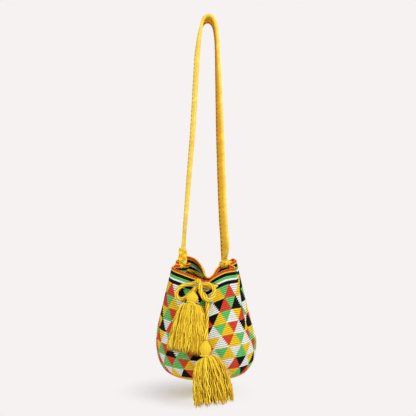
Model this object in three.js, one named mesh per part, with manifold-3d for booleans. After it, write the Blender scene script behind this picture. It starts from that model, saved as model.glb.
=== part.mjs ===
// A crocheted drawstring bag that hangs from its shoulder strap, with a cord tied in a bow and two tassels.
// Millimetres, +Z up, front towards -Y. The origin is the underside of the strap where it hangs.
import * as THREE from 'three';
import { mergeVertices } from 'three/addons/utils/BufferGeometryUtils.js';
import Module from 'manifold-3d';

// Driving dimensions of the bag
const STRAP_DROP = 540; // from the hanging point down to the level of the mouth's two corners
const BAG_HEIGHT = 237; // from that level down to the base
const BELLY_RADIUS = 107.5; // widest ring, to the middle of the wall
const BELLY_CENTRE_X = -3.6;
const BELLY_RISE = 74; // height of the widest ring above the base
const BASE_FLAT_RADIUS = 60;
const BASE_ROUNDNESS = 2.3; // exponent of the curve between belly and base: 2 is an ellipse
const WALL = 4;
const SEAT_GAP = 0.3; // between pieces that touch
const ROUND_GAP = 0.4; // the same where one piece grips another and their facets come nearer
const EYELET_CLEARANCE = 0.6; // between the drawstring and the eyelets that it runs through

// Driving dimensions of the strap
const STRAP_WIDTH = 62;
const STRAP_THICKNESS = 7;

// Driving dimensions of the drawstring and its tassels
const CORD_DIAMETER = 8.6;
const CORD_SIDES = 10;
const CORD_STEPS = 80;
const NECK_RADIUS = 8.2; // under the head, where the binding sits
const TIE_THICKNESS = 2.6;
const TIE_WIDTH = 4.4;

// Mesh resolution
const COLUMNS = 88;
const UPPER_ROWS = 10;
const LOWER_ROWS = 6;
const STRAP_STEPS = 56;
const STRAP_SIDES = 12;
const ROUND_SIDES = 20;

const vec = (x, y, z) => new THREE.Vector3(x, y, z);

const wasm = await Module();
wasm.setup();

// The rim in plan and height: front panel, right pleat, right corner, back with its dip, left fold, left corner.
// Heights count from the level of the mouth's corners.
const RIM = [
  [-1.7, -58, -28.3], [9.3, -58, -20.4], [20.4, -56, -13.4], [34.3, -50, -7.2], [47.1, -42, -4.9],
  [57.2, -30, -4.2], [56.8, -22, -1], [48, -14, 1.6], [47.8, -5, 4.2], [58, 3, 8.8], [60.6, 13, 11.2],
  [55.4, 24, 12.4], [46.1, 27, 6.6], [35.7, 20, -1.1], [25, 9, -2.7], [18, -2, -8.8], [9.4, -13, -21.4],
  [0.4, -18, -25.9], [-7, -13, -20.3], [-10.6, 0, -9.4], [-18.2, 16, 2.5], [-31.4, 31, 13],
  [-47.4, 40, 16.9], [-62.1, 42, 13.6], [-69.7, 35, 7.8], [-63.8, 27, 4.3], [-50.2, 23, 2.9],
  [-39.3, 14, 2.2], [-46.4, 5, 1.2], [-59.4, 0, 0.3], [-71.2, -6, 1.2], [-76.6, -18, -1.8],
  [-71.2, -30, -5.5], [-53.5, -42, -11.7], [-24, -54, -21.5],
];
const rimCurve = new THREE.CatmullRomCurve3(RIM.map((p) => vec(...p)), true, 'centripetal');

// How fast the wall swells from the rim to the belly: quickly on the left, slowly on the right and at the pleat.
const SWELL = 1.33;
const SWELL_SWAY = 0.42;
const PLEAT_TURN = 0.156;
const PLEAT_WIDTH = 0.022;
const PLEAT_HOLD = 0.2;
const BELLY_EASE = 0.08;

function swell(turn, drop) {
  const pleat = PLEAT_HOLD * Math.exp(-(((turn - PLEAT_TURN) / PLEAT_WIDTH) ** 2));
  const power = SWELL - SWELL_SWAY * Math.sin(2 * Math.PI * turn) - pleat;
  const left = 1 - drop;
  return 1 - left ** power * (1 - Math.exp(-left / BELLY_EASE));
}

// Middle of the wall. turn runs 0..1 round the bag from the front, leftwards to rightwards seen from above;
// down runs 0..1 from rim to belly, 1..2 from belly to the flat base, 2..3 across the base to its middle.
function wallPoint(turn, down) {
  const angle = -Math.PI / 2 + 2 * Math.PI * turn;
  const bellyZ = -BAG_HEIGHT + BELLY_RISE;
  const floorZ = -BAG_HEIGHT + WALL / 2;
  if (down <= 1) {
    const rim = rimCurve.getPointAt(turn);
    const w = swell(turn, down);
    const x = BELLY_CENTRE_X + BELLY_RADIUS * Math.cos(angle);
    const y = BELLY_RADIUS * Math.sin(angle);
    return vec(rim.x + (x - rim.x) * w, rim.y + (y - rim.y) * w, rim.z + (bellyZ - rim.z) * down);
  }
  let radius = BASE_FLAT_RADIUS * (3 - down);
  let z = floorZ;
  if (down < 2) {
    const bend = (down - 1) * Math.PI / 2;
    radius = BASE_FLAT_RADIUS + (BELLY_RADIUS - BASE_FLAT_RADIUS) * Math.cos(bend) ** (2 / BASE_ROUNDNESS);
    z = bellyZ - (bellyZ - floorZ) * Math.sin(bend) ** (2 / BASE_ROUNDNESS);
  }
  return vec(BELLY_CENTRE_X + radius * Math.cos(angle), radius * Math.sin(angle), z);
}

function wallNormal(turn, down) {
  const step = 0.004;
  if (down >= 2) return vec(0, 0, -1);
  const along = wallPoint((turn + step) % 1, down).sub(wallPoint((turn - step + 1) % 1, down));
  const low = Math.min(down + step, 2);
  const high = Math.max(down - step, 0);
  const across = wallPoint(turn, low).sub(wallPoint(turn, high));
  return across.cross(along).normalize();
}

// One closed mesh from rings of equal length, each a list of points, with a point at each end.
function skin(rings, first, last) {
  const count = rings[0].length;
  const positions = [...rings.flat(), first, last].flatMap((p) => [p.x, p.y, p.z]);
  const index = [];
  for (let r = 0; r < rings.length - 1; r += 1) {
    for (let k = 0; k < count; k += 1) {
      const a = r * count + k;
      const b = r * count + ((k + 1) % count);
      index.push(a, b, a + count, b, b + count, a + count);
    }
  }
  const start = rings.length * count;
  const tail = start - count;
  for (let k = 0; k < count; k += 1) {
    const next = (k + 1) % count;
    index.push(start, next, k, start + 1, tail + k, tail + next);
  }
  const geometry = new THREE.BufferGeometry();
  geometry.setAttribute('position', new THREE.Float32BufferAttribute(positions, 3));
  geometry.setIndex(index);
  return geometry;
}

// The bag's whole shell: outer face up from the base, over the rim, inner face down to the base.
function bagShell(wall, rimRaise) {
  const levels = [];
  for (let i = 0; i <= UPPER_ROWS; i += 1) levels.push(i / UPPER_ROWS);
  for (let i = 1; i <= LOWER_ROWS; i += 1) levels.push(1 + i / LOWER_ROWS);
  const ring = (down, side, raise = 0) => Array.from({ length: COLUMNS }, (_, k) => {
    const turn = k / COLUMNS;
    const point = wallPoint(turn, down).addScaledVector(wallNormal(turn, down), side * wall / 2);
    point.z += raise;
    return point;
  });
  const outer = levels.map((down, i) => ring(down, 1, i === 0 ? rimRaise : 0)).reverse();
  const inner = levels.map((down, i) => ring(down, -1, i === 0 ? rimRaise : 0));
  const middle = (side) => wallPoint(0, 3).addScaledVector(vec(0, 0, -1), side * wall / 2);
  return skin([...outer, ...inner], middle(1), middle(-1));
}

// The strap's course as seen from the front, from its left end over the hanging point to its right end.
// Each station is [x, y, height share, width, thickness, turn of the band in degrees]. A height share of 0 is the
// hanging point and 1 the level of the mouth's corners; stations near the top are in millimetres instead.
const STRAP_LEGS_LEFT = [
  [-55.2, 2, 0.941, 11, 10.5, 0], [-54.6, 2, 0.926, 15, 11, 0], [-53.4, 2, 0.902, 27, 9, 3],
  [-51.8, 2, 0.861, 46, 7.4, 4], [-49.5, 2, 0.81, 60, STRAP_THICKNESS, 4.5],
  [-41.7, 1, 0.63, STRAP_WIDTH, STRAP_THICKNESS, 6], [-33.7, 0, 0.447, STRAP_WIDTH, STRAP_THICKNESS, 7],
  [-27.2, 0, 0.245, STRAP_WIDTH, STRAP_THICKNESS, 7.3],
];
const STRAP_ARCH = [
  [-23.3, 0, -69.8, 7.3], [-20.3, 0, -43, 6], [-17, 0, -21, 4.5], [-13.2, 0, -7.5, 3.5], [-7.4, 0, 0.9, 3],
  [0, 0, 3.5, 2.5], [7.8, 0, 0.9, 2.5], [13.2, 0, -7, 2.5], [16.8, 0, -21, 2.5], [19.3, 0, -43, 3],
  [20.4, 0, -69.8, 3.5],
];
const STRAP_LEGS_RIGHT = [
  [23, 1, 0.26, STRAP_WIDTH, STRAP_THICKNESS, 7], [26.1, 3, 0.447, STRAP_WIDTH, STRAP_THICKNESS, 10.4],
  [29.5, 8, 0.63, STRAP_WIDTH, STRAP_THICKNESS, 11.3], [33.5, 13, 0.81, STRAP_WIDTH, STRAP_THICKNESS, 11.5],
  [37.6, 17, 0.918, 61, STRAP_THICKNESS, 13], [37, 18, 0.95, 46, 8, 13], [35.9, 19, 0.972, 25, 11, 12],
  [35.3, 19, 0.985, 13, 11, 10], [35.2, 19, 0.991, 11, 10, 10],
];

// A band of changing width along the course; grow widens and lengthens it, for the socket that it sits in.
function strapBand(grow) {
  const leg = ([x, y, share, width, thick, turn]) => ({ at: vec(x, y, -share * STRAP_DROP), width, thick, turn });
  const arch = ([x, y, z, turn]) => ({ at: vec(x, y, z), width: STRAP_WIDTH, thick: STRAP_THICKNESS, turn });
  const stations = [...STRAP_LEGS_LEFT.map(leg), ...STRAP_ARCH.map(arch), ...STRAP_LEGS_RIGHT.map(leg)];
  const course = new THREE.CatmullRomCurve3(stations.map((s) => s.at), false, 'centripetal');
  const rings = [];
  const centres = [];
  for (let i = 0; i <= STRAP_STEPS; i += 1) {
    const t = i / STRAP_STEPS;
    const [width, thick, turn] = interpolate(stations, t);
    const angle = THREE.MathUtils.degToRad(turn);
    const across = vec(-Math.sin(angle), Math.cos(angle), 0);
    const tangent = course.getTangent(t);
    const face = tangent.clone().cross(across).normalize();
    const centre = course.getPoint(t);
    if (t === 0) centre.addScaledVector(tangent, -grow);
    if (t === 1) centre.addScaledVector(tangent, grow);
    centres.push(centre);
    rings.push(roundedSection(centre, across, face, width / 2 + grow, thick / 2 + grow, STRAP_SIDES));
  }
  return skin(rings, centres[0], centres.at(-1));
}

function interpolate(stations, t) {
  const place = t * (stations.length - 1);
  const i = Math.min(Math.floor(place), stations.length - 2);
  const f = place - i;
  return ['width', 'thick', 'turn'].map((key) => THREE.MathUtils.lerp(stations[i][key], stations[i + 1][key], f));
}

// A flat oval: a rectangle with round ends, halfWide along one axis and halfThick along the other.
function roundedSection(centre, wideAxis, thickAxis, halfWide, halfThick, sides) {
  const straight = Math.max(halfWide - halfThick, 0);
  return Array.from({ length: sides }, (_, k) => {
    const a = 2 * Math.PI * (k + 0.5) / sides;
    const wide = Math.sign(Math.cos(a)) * straight + Math.cos(a) * Math.min(halfThick, halfWide);
    return centre.clone().addScaledVector(wideAxis, wide).addScaledVector(thickAxis, Math.sin(a) * halfThick);
  });
}

// A round or oval body from [axis point, wide axis, deep axis, half width, half depth, curl] stations. A curl bends
// the section's wide ends backwards, as cloth or yarn lies round a belly.
function spindle(stations) {
  const rings = stations.map(([at, wide, deep, halfWide, halfDeep, curl = 0]) => (
    Array.from({ length: ROUND_SIDES }, (_, k) => {
      const a = 2 * Math.PI * k / ROUND_SIDES;
      const w = Math.cos(a) * halfWide;
      return at.clone().addScaledVector(wide, w).addScaledVector(deep, Math.sin(a) * halfDeep - curl * w * w / 2);
    })));
  return skin(rings, stations[0][0].clone(), stations.at(-1)[0].clone());
}

// The drawstring, from the upper tassel through the bow, left loop and right eyelet, round the inside of the mouth,
// out at the left eyelet and down to the lower tassel. Heights count from the level of the mouth's corners.
const CORD_ROUTE = [
  [-28.9, -88.2, -46.4], [-25.6, -85, -40], [-18.8, -80.2, -35.4], [-11.5, -79.6, -32.9],
  [-3.1, -80, -31.4], [5.2, -81, -33.4], [11.7, -83, -40.1], [12.9, -86, -48.7], [9.5, -90, -57.5],
  [1.7, -93.5, -62.7], [-7, -96, -60.1], [-12.4, -98, -52.4], [-14.7, -96.8, -43.3], [-16.1, -93.5, -34.3],
  [-17.4, -88, -27.1], [-20.5, -79.5, -24.2], [-26.7, -71.5, -29.6], [-35.8, -68.5, -33.5],
  [-48.4, -67.5, -34.9], [-60, -67.5, -40.6], [-66, -69, -49.6], [-64.7, -71.5, -59.4],
  [-57, -74.5, -64.1], [-48.1, -76, -61], [-39.1, -75.8, -53.4], [-31.4, -74.2, -46.1],
  [-23.7, -71.6, -40.3], [-15.8, -70.3, -37.7], [-6.3, -70.6, -38.1], [3.1, -72.3, -38.8],
  [10.9, -70.8, -38.5], [18.1, -65, -37.5], [24.6, -57.5, -36.6], [34, -49, -31], [44, -38.5, -26],
  [48, -26, -23], [47.5, -14, -21], [48, -3, -19], [46.5, 8, -18], [40.5, 16, -21], [30, 19, -27],
  [17, 20, -33], [5, 20.5, -34], [-7, 21.5, -29], [-20, 25, -21.5], [-33, 30.5, -16.5], [-45, 34, -14],
  [-55.5, 33, -14], [-62, 27, -16], [-64.5, 18, -18.5], [-66.5, 6, -22], [-70, -6, -25], [-71, -17.5, -27],
  [-66.5, -28.5, -29], [-57, -38, -32], [-44, -46.5, -36.5], [-32, -53, -43], [-22.5, -62, -48.3],
  [-13.4, -75.5, -50.1], [-7.1, -80.5, -55], [-2.7, -83.8, -62.5], [-1.5, -87.6, -72.4],
  [-2.1, -93.6, -88.1], [-2.9, -102.2, -107.4], [-3.7, -113.6, -122.4], [-4.1, -120, -130.4],
  [-4.3, -123, -135.6], [-4.5, -124.2, -141],
];
const cordCurve = new THREE.CatmullRomCurve3(CORD_ROUTE.map((p) => vec(...p)), false, 'centripetal');
cordCurve.arcLengthDivisions = 2000;

function cordTube(radius) {
  const section = new THREE.Shape();
  for (let k = 0; k < CORD_SIDES; k += 1) {
    const a = 2 * Math.PI * k / CORD_SIDES;
    if (k === 0) section.moveTo(radius, 0);
    else section.lineTo(radius * Math.cos(a), radius * Math.sin(a));
  }
  section.closePath();
  return new THREE.ExtrudeGeometry(section, { steps: CORD_STEPS, extrudePath: cordCurve, bevelEnabled: false });
}

// A tassel hangs from a cord end: a wound head in line with the cord, a binding round its neck and a skirt of yarns
// that fans out from the neck to its hem.
function tassel(end, into, facing, form) {
  const down = into.clone();
  const wide = facing.clone().cross(down).normalize();
  const deep = down.clone().cross(wide).normalize();
  const along = (distance) => end.clone().addScaledVector(down, SEAT_GAP + distance);
  const cordRadius = CORD_DIAMETER / 2;
  const headProfile = [
    [0, cordRadius], [0.1, cordRadius + 0.6], [0.28, form.head * 0.76], [0.48, form.head], [0.68, form.head * 0.98],
    [0.88, form.head * 0.8], [1, NECK_RADIUS], [1 + TIE_WIDTH / form.headLength, NECK_RADIUS],
  ];
  const head = spindle(headProfile.map(([share, radius]) => (
    [along(share * form.headLength), wide, deep, radius, radius])));

  const middle = NECK_RADIUS + ROUND_GAP + TIE_THICKNESS / 2;
  const ring = Array.from({ length: 9 }, (_, k) => {
    const a = 2 * Math.PI * k / 8;
    return new THREE.Vector2(middle + TIE_THICKNESS / 2 * Math.cos(a), TIE_WIDTH / 2.4 * Math.sin(a));
  });
  const tie = new THREE.LatheGeometry(ring, ROUND_SIDES);
  tie.applyQuaternion(new THREE.Quaternion().setFromUnitVectors(vec(0, 1, 0), down));
  tie.translate(...along(form.headLength + TIE_WIDTH / 2).toArray());

  const start = along(form.headLength + TIE_WIDTH + SEAT_GAP);
  const fall = form.hem.clone().sub(start);
  const length = fall.length();
  fall.normalize();
  const bend = new THREE.QuadraticBezierCurve3(start, start.clone().addScaledVector(down, length / 6), form.hem);
  const skirt = spindle(form.skirt.map(([share, halfWide, halfDeep]) => {
    const ease = Math.min(share / 0.2, 1);
    const axis = down.clone().lerp(fall, ease).normalize();
    const side = facing.clone().cross(axis).normalize();
    const at = share <= 1 ? bend.getPoint(share) : form.hem.clone().addScaledVector(fall, (share - 1) * length);
    return [at, side, axis.clone().cross(side), halfWide, halfDeep, ease * form.curl];
  }));
  return { head, tie, skirt };
}

function toSolid(geometry) {
  const bare = geometry.clone();
  bare.deleteAttribute('normal');
  bare.deleteAttribute('uv');
  const merged = mergeVertices(bare, 1e-4);
  return new wasm.Manifold(new wasm.Mesh({
    numProp: 3,
    vertProperties: new Float32Array(merged.attributes.position.array),
    triVerts: new Uint32Array(merged.index.array),
  }));
}

function toGeometry(solid) {
  const mesh = solid.getMesh();
  const geometry = new THREE.BufferGeometry();
  geometry.setAttribute('position', new THREE.BufferAttribute(mesh.vertProperties, 3));
  geometry.setIndex(new THREE.BufferAttribute(mesh.triVerts, 1));
  geometry.computeVertexNormals();
  return geometry;
}

const goldenYarn = new THREE.MeshStandardMaterial({ color: 0xdcb31e, roughness: 0.9, metalness: 0 });
const crochet = new THREE.MeshStandardMaterial({ color: 0x8c9a4a, roughness: 0.95, metalness: 0 });
const cordYarn = new THREE.MeshStandardMaterial({ color: 0xe0b020, roughness: 0.8, metalness: 0 });

function piece(name, geometry, material) {
  const mesh = new THREE.Mesh(geometry, material.clone());
  mesh.name = name;
  return mesh;
}

// The bag and what hangs on it, built about the level of the mouth's corners and hung at the strap's drop.
const bag = new THREE.Group();
bag.position.z = -STRAP_DROP;

const eyeletCutter = toSolid(cordTube(CORD_DIAMETER / 2 + EYELET_CLEARANCE));
bag.add(piece('bag_body', toGeometry(toSolid(bagShell(WALL, 0)).subtract(eyeletCutter)), crochet));
bag.add(piece('drawstring', cordTube(CORD_DIAMETER / 2), cordYarn));

const upper = tassel(cordCurve.getPoint(0), cordCurve.getTangent(0).negate(), vec(-0.39, -0.92, 0), {
  head: 12.4,
  headLength: 23,
  hem: vec(-51, -111.6, -163),
  curl: 1 / 125,
  skirt: [
    [0, NECK_RADIUS, NECK_RADIUS], [0.03, 15, 9.5], [0.07, 22, 10], [0.13, 27, 10], [0.3, 32, 10], [0.5, 34, 10],
    [0.75, 36, 9.5], [1, 37, 9], [1.06, 27, 5],
  ],
});
const lower = tassel(cordCurve.getPoint(1), cordCurve.getTangent(1), vec(0, -1, 0), {
  head: 11,
  headLength: 29,
  hem: vec(9, -131, -268),
  curl: 0,
  skirt: [
    [0, NECK_RADIUS, NECK_RADIUS], [0.03, 15, 12], [0.07, 20, 14], [0.13, 25, 16], [0.3, 31, 19], [0.5, 35, 21],
    [0.75, 37.5, 23], [1, 39.5, 24], [1.09, 27, 15],
  ],
});
for (const [name, parts] of [['upper', upper], ['lower', lower]]) {
  bag.add(piece(`${name}_tassel_head`, parts.head, cordYarn));
  bag.add(piece(`${name}_tassel_tie`, parts.tie, cordYarn));
  bag.add(piece(`${name}_tassel_skirt`, parts.skirt, goldenYarn));
}

// The strap's ends: a plait on the left and a wrapped knot on the right, each round the gathered band above and
// astride the rim below.
const rimCutter = toSolid(bagShell(WALL + 2 * ROUND_GAP, ROUND_GAP));
const bandCutter = toSolid(strapBand(ROUND_GAP)).translate([0, 0, STRAP_DROP]);
const PLAIT_AT = [-55.4, 2];
const KNOT_AT = [35.4, 19];
const lashing = ([x, y], stations) => {
  const body = spindle(stations.map(([z, wide, deep]) => [vec(x, y, z), vec(1, 0, 0), vec(0, 1, 0), wide, deep]));
  return toGeometry(toSolid(body).subtract(rimCutter).subtract(bandCutter));
};
bag.add(piece('strap_lashing_left', lashing(PLAIT_AT, [
  [-6, 3.6, 4.5], [-2, 5.6, 7], [5, 7.4, 8.2], [14, 9, 9], [24, 9.6, 9.4], [33, 8.6, 8.6], [39, 7.6, 7.2],
]), goldenYarn));
bag.add(piece('strap_lashing_right', lashing(KNOT_AT, [
  [-8, 5, 5], [-5, 8.6, 8.4], [-1, 11, 10.6], [4, 11.4, 11], [9, 10, 9.6], [11.5, 7.4, 7.2],
]), goldenYarn));

const mochila = new THREE.Group();
mochila.add(bag);
mochila.add(piece('strap_band', strapBand(0), goldenYarn));

export default mochila;
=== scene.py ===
"""A crocheted drawstring bag that hangs from its woven shoulder strap, with a tied bow and two yarn tassels.

Everything is in metres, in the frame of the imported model: +Z up, the front towards -Y and the origin at the
underside of the strap where the bag hangs. Sizes and routes repeat those of the bag's solids.
"""

import logging
import math
import random
from dataclasses import dataclass, field
from enum import Enum
from functools import cache
from typing import Any, Callable, Mapping, Optional, Sequence, Union

import bmesh
import bpy
import numpy as np
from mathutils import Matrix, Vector


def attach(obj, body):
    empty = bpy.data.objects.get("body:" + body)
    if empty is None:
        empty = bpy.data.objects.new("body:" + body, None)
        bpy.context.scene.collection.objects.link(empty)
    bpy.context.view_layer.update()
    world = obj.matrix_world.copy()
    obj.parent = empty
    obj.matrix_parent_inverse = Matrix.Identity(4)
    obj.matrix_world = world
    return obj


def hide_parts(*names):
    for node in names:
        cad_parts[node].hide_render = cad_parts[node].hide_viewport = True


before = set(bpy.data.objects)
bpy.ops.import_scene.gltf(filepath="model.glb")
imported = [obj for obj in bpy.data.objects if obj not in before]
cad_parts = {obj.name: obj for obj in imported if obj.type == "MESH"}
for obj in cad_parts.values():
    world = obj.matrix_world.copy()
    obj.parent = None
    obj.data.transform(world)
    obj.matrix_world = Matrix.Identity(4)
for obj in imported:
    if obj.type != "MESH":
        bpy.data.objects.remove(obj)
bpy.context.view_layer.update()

LOG = logging.getLogger("mochila")
MM = 0.001
STRAP_DROP = 540 * MM
TURN = 2 * math.pi
BODY = "root"

Point = tuple[float, float, float]
Colour = tuple[float, float, float, float]


def linear(red: int, green: int, blue: int) -> Colour:
    """Turns a display colour of 0 to 255 into the linear colour that a material takes.

    Args:
        red: Red as displayed.
        green: Green as displayed.
        blue: Blue as displayed.

    Returns:
        The linear red, green, blue and full opacity.
    """
    def channel(value: int) -> float:
        """One channel, by the display's curve."""
        share = value / 255
        return share / 12.92 if share <= 0.04045 else ((share + 0.055) / 1.055) ** 2.4
    return channel(red), channel(green), channel(blue), 1.0


class Yarn(Enum):
    """The yarns that the bag is crocheted from."""

    BLACK = linear(8, 8, 6)
    WHITE = linear(240, 241, 234)
    RED = linear(224, 72, 50)
    GREEN = linear(106, 203, 108)
    YELLOW = linear(250, 206, 36)
    GOLD = linear(246, 214, 60)
    LEMON = linear(246, 217, 92)
    # A deeper copy of the lemon yarn, painted as the shade on the strap's inner face.
    LEMON_PAINTED_SHADE = linear(243, 199, 30)
    # Orange: the base's edge row, and on the inside of the mouth a darker copy of yellow painted as shade.
    ORANGE = linear(240, 150, 30)


# Curves.

class Course:
    """A smooth course through given points: a centripetal Catmull-Rom curve, as the solids use."""

    def __init__(self, points: np.ndarray, closed: bool = False, divisions: int = 200) -> None:
        """Works out the cubic of each span and the table of lengths.

        Args:
            points: One row of x, y and z for each point.
            closed: Whether the last point joins the first.
            divisions: How many steps the table of lengths has.
        """
        count = len(points)
        spans = count if closed else count - 1
        before = 2 * points[0] - points[1]
        after = 2 * points[-1] - points[-2]
        cubics = []
        for i in range(spans):
            p1 = points[i % count]
            p2 = points[(i + 1) % count]
            p0 = points[(i - 1) % count] if closed or i > 0 else before
            p3 = points[(i + 2) % count] if closed or i + 2 < count else after
            cubics.append(self._cubic(p0, p1, p2, p3))
        self.cubics = np.array(cubics)
        self.spans = spans
        shares = np.linspace(0, 1, divisions + 1)
        steps = np.linalg.norm(np.diff(self.at(shares), axis=0), axis=1)
        self.shares = shares
        self.lengths = running(steps)

    @staticmethod
    def _cubic(p0: np.ndarray, p1: np.ndarray, p2: np.ndarray, p3: np.ndarray) -> np.ndarray:
        """The four coefficients of one span.

        Args:
            p0: The point before the span.
            p1: The span's first point.
            p2: The span's last point.
            p3: The point after the span.

        Returns:
            Four rows, for the powers 0 to 3.
        """
        d0, d1, d2 = (math.sqrt(np.linalg.norm(b - a)) for a, b in ((p0, p1), (p1, p2), (p2, p3)))
        t1 = ((p1 - p0) / d0 - (p2 - p0) / (d0 + d1) + (p2 - p1) / d1) * d1
        t2 = ((p2 - p1) / d1 - (p3 - p1) / (d1 + d2) + (p3 - p2) / d2) * d1
        return np.array([p1, t1, 3 * (p2 - p1) - 2 * t1 - t2, 2 * (p1 - p2) + t1 + t2])

    @property
    def length(self) -> float:
        """The whole length."""
        return float(self.lengths[-1])

    def at(self, share: np.ndarray) -> np.ndarray:
        """The points at these shares of the spans, counted evenly by span.

        Args:
            share: Shares from 0 to 1.

        Returns:
            One point a row.
        """
        place = np.clip(share, 0, 1) * self.spans
        i = np.minimum(place.astype(int), self.spans - 1)
        f = (place - i)[:, None]
        c = self.cubics[i]
        return c[:, 0] + f * (c[:, 1] + f * (c[:, 2] + f * c[:, 3]))

    def along(self, share: np.ndarray) -> np.ndarray:
        """The points at these shares of the length."""
        return self.at(self.share_at(share))

    def share_at(self, share: np.ndarray) -> np.ndarray:
        """Turns shares of the length into shares of the spans."""
        return np.interp(np.asarray(share) * self.lengths[-1], self.lengths, self.shares)


def unit(vectors: np.ndarray) -> np.ndarray:
    """The same directions at length 1, one a row."""
    return vectors / np.maximum(np.linalg.norm(vectors, axis=-1, keepdims=True), 1e-12)


def around(angle: np.ndarray, first: np.ndarray, second: np.ndarray) -> np.ndarray:
    """The directions at these angles, from the first axis towards the second."""
    return np.cos(angle)[:, None] * first + np.sin(angle)[:, None] * second


def bell(distance: np.ndarray, width: float) -> np.ndarray:
    """A smooth bump: 1 at no distance, falling away over the width."""
    return np.exp(-((distance / width) ** 2))


def closing(row: np.ndarray, steps: int, size: Union[float, np.ndarray] = 1.0) -> np.ndarray:
    """The size on every row but the first and last, where a piece closes to a point."""
    return np.where((row == 0) | (row == steps), 0.0, size)


def running(strides: np.ndarray) -> np.ndarray:
    """The length run at each point, from the strides between them."""
    return np.concatenate([[0], np.cumsum(strides)])


def carried_frames(points: np.ndarray) -> tuple[np.ndarray, np.ndarray]:
    """Two axes across a course that turn with it and never twist.

    Args:
        points: The course's points, in order.

    Returns:
        The two axes at each point.
    """
    tangents = unit(np.gradient(points, axis=0))
    side = np.zeros_like(points)
    start = np.cross(tangents[0], [0.0, 0.0, 1.0])
    side[0] = unit(start if np.linalg.norm(start) > 1e-3 else np.array([1.0, 0.0, 0.0]))
    for i in range(1, len(points)):
        moved = side[i - 1] - tangents[i] * np.dot(side[i - 1], tangents[i])
        side[i] = unit(moved)
    return side, np.cross(tangents, side)


# Shader graph.

Feed = Union["Signal", float, tuple]


class Signal:
    """A shader socket that takes part in Python arithmetic."""

    def __init__(self, graph: "Graph", socket: bpy.types.NodeSocket) -> None:
        """Keeps the graph and the socket that the value comes from."""
        self.graph = graph
        self.socket = socket

    def _sum(self, operation: str, first: Feed, second: Feed) -> "Signal":
        """Adds one Math node of two inputs."""
        return self.graph.node("ShaderNodeMath", {"operation": operation}, {0: first, 1: second})

    def __add__(self, other: Feed) -> "Signal":
        """This plus other."""
        return self._sum("ADD", self, other)

    def __radd__(self, other: Feed) -> "Signal":
        """Other plus this."""
        return self._sum("ADD", other, self)

    def __mul__(self, other: Feed) -> "Signal":
        """This times other."""
        return self._sum("MULTIPLY", self, other)

    def __abs__(self) -> "Signal":
        """This without its sign."""
        return self._sum("ABSOLUTE", self, 0.0)

    def __pow__(self, other: Feed) -> "Signal":
        """This to the power of other."""
        return self._sum("POWER", self, other)

    def sine(self) -> "Signal":
        """The sine of this, in radians."""
        return self._sum("SINE", self, 0.0)

    def at_most(self, other: Feed) -> "Signal":
        """The lesser of this and other."""
        return self._sum("MINIMUM", self, other)


class Graph:
    """The node tree of one material or world."""

    def __init__(self, owner: Union[bpy.types.Material, bpy.types.World]) -> None:
        """Empties the owner's tree.

        Args:
            owner: The material or world.
        """
        owner.use_nodes = True
        self.tree = owner.node_tree
        self.tree.nodes.clear()

    def node(self, kind: str, settings: Optional[Mapping[str, Any]] = None,
             inputs: Optional[Mapping[Union[int, str], Feed]] = None, output: Union[int, str] = 0) -> Signal:
        """Adds a node, with its settings first and then its sockets.

        Args:
            kind: The node's type.
            settings: Attributes to set.
            inputs: Values or signals by socket name or number.
            output: The socket that the result reads.

        Returns:
            The signal of that output.
        """
        made = self.tree.nodes.new(kind)
        for name, value in (settings or {}).items():
            setattr(made, name, value)
        for name, value in (inputs or {}).items():
            if isinstance(value, Signal):
                self.tree.links.new(value.socket, made.inputs[name])
            else:
                made.inputs[name].default_value = value
        return Signal(self, made.outputs[output] if made.outputs else None)

    def mix(self, factor: Feed, first: Feed, second: Feed, blend: str = "MIX") -> Signal:
        """Mixes two colours."""
        return self.node("ShaderNodeMix", {"data_type": "RGBA", "blend_type": blend},
                         {0: factor, 6: first, 7: second}, output=2)

    def attribute(self, name: str, output: str = "Fac") -> Signal:
        """Reads a value that the mesh carries."""
        return self.node("ShaderNodeAttribute", {"attribute_name": name}, output=output)


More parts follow.
